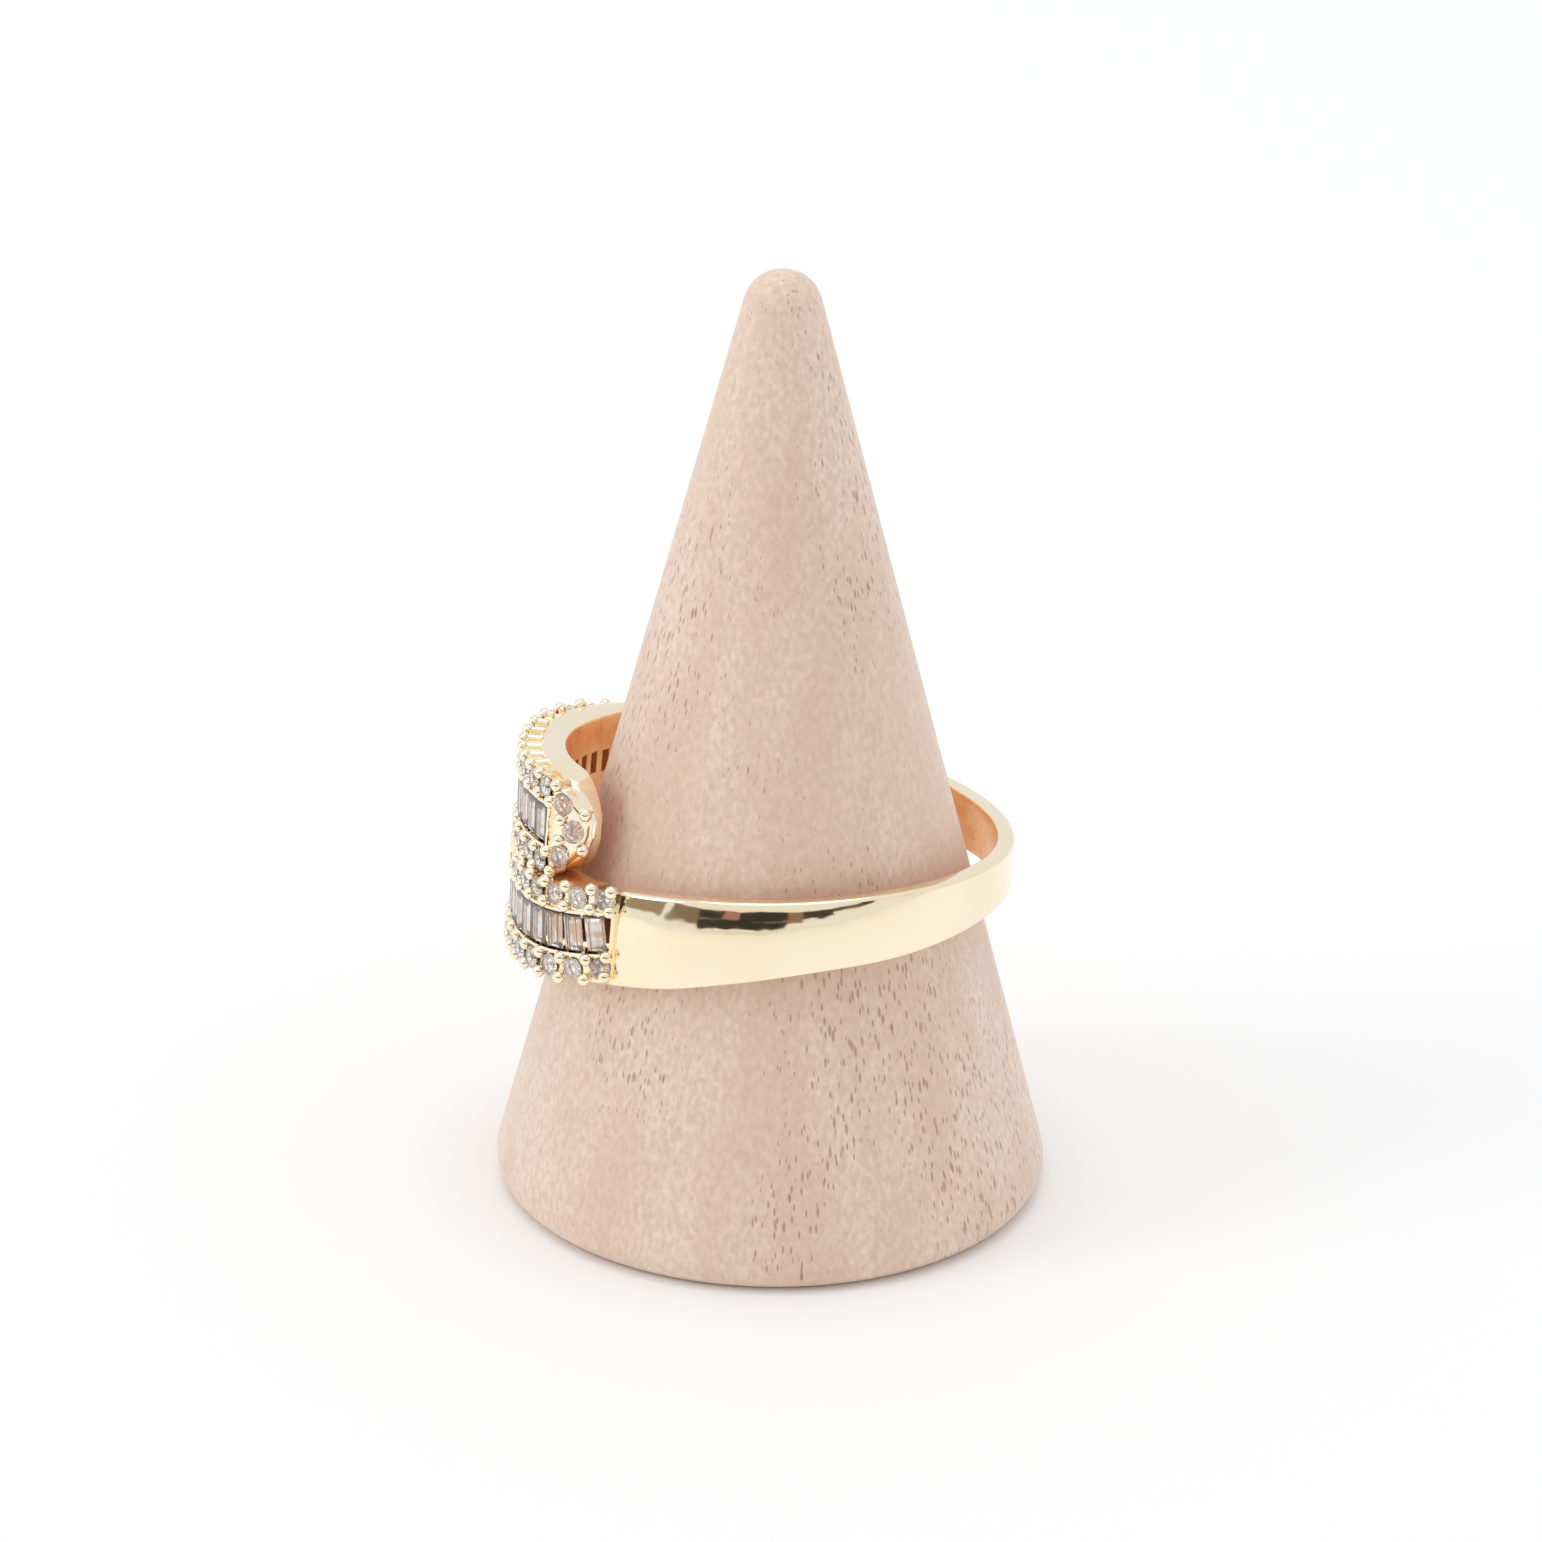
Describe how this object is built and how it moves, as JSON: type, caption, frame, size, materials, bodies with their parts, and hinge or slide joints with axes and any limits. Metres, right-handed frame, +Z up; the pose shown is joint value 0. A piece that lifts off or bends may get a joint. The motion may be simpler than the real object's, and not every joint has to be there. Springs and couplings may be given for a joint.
{
  "type": "statement ring on a wooden ring cone",
  "caption": "Bypass statement ring in gold-coloured metal with two stone-set arms that pass each other, seated on a plain wooden ring cone.",
  "frame": {"origin": "middle of the cone's flat foot, on the surface that it stands on", "axes": "+Z up along the cone's axis; -X towards the stones at the front of the ring; -Y towards the near side of the ring's plain shank"},
  "size_m": [0.0244, 0.0244, 0.0431],
  "materials": {
    "cone_wood": "sanded, unvarnished",
    "ring_gold": "polished pale yellow gold plating",
    "round_stone": "polished, colourless cut stone",
    "baguette_stone": "polished, colourless cut stone"
  },
  "bodies": {
    "root": {"ring_cone": "cone_wood", "ring_band": "ring_gold", "round_stones": "round_stone", "baguette_01": "baguette_stone", "baguette_02": "baguette_stone", "baguette_03": "baguette_stone", "baguette_04": "baguette_stone", "baguette_05": "baguette_stone", "baguette_06": "baguette_stone", "baguette_07": "baguette_stone", "baguette_08": "baguette_stone", "baguette_09": "baguette_stone", "baguette_10": "baguette_stone", "baguette_11": "baguette_stone", "baguette_12": "baguette_stone", "baguette_13": "baguette_stone", "baguette_14": "baguette_stone", "baguette_15": "baguette_stone", "baguette_16": "baguette_stone", "baguette_17": "baguette_stone", "baguette_18": "baguette_stone", "baguette_19": "baguette_stone", "baguette_20": "baguette_stone", "baguette_21": "baguette_stone", "baguette_22": "baguette_stone", "baguette_23": "baguette_stone", "baguette_24": "baguette_stone", "baguette_25": "baguette_stone", "baguette_26": "baguette_stone", "baguette_27": "baguette_stone", "baguette_28": "baguette_stone"}
  },
  "joints": []
}
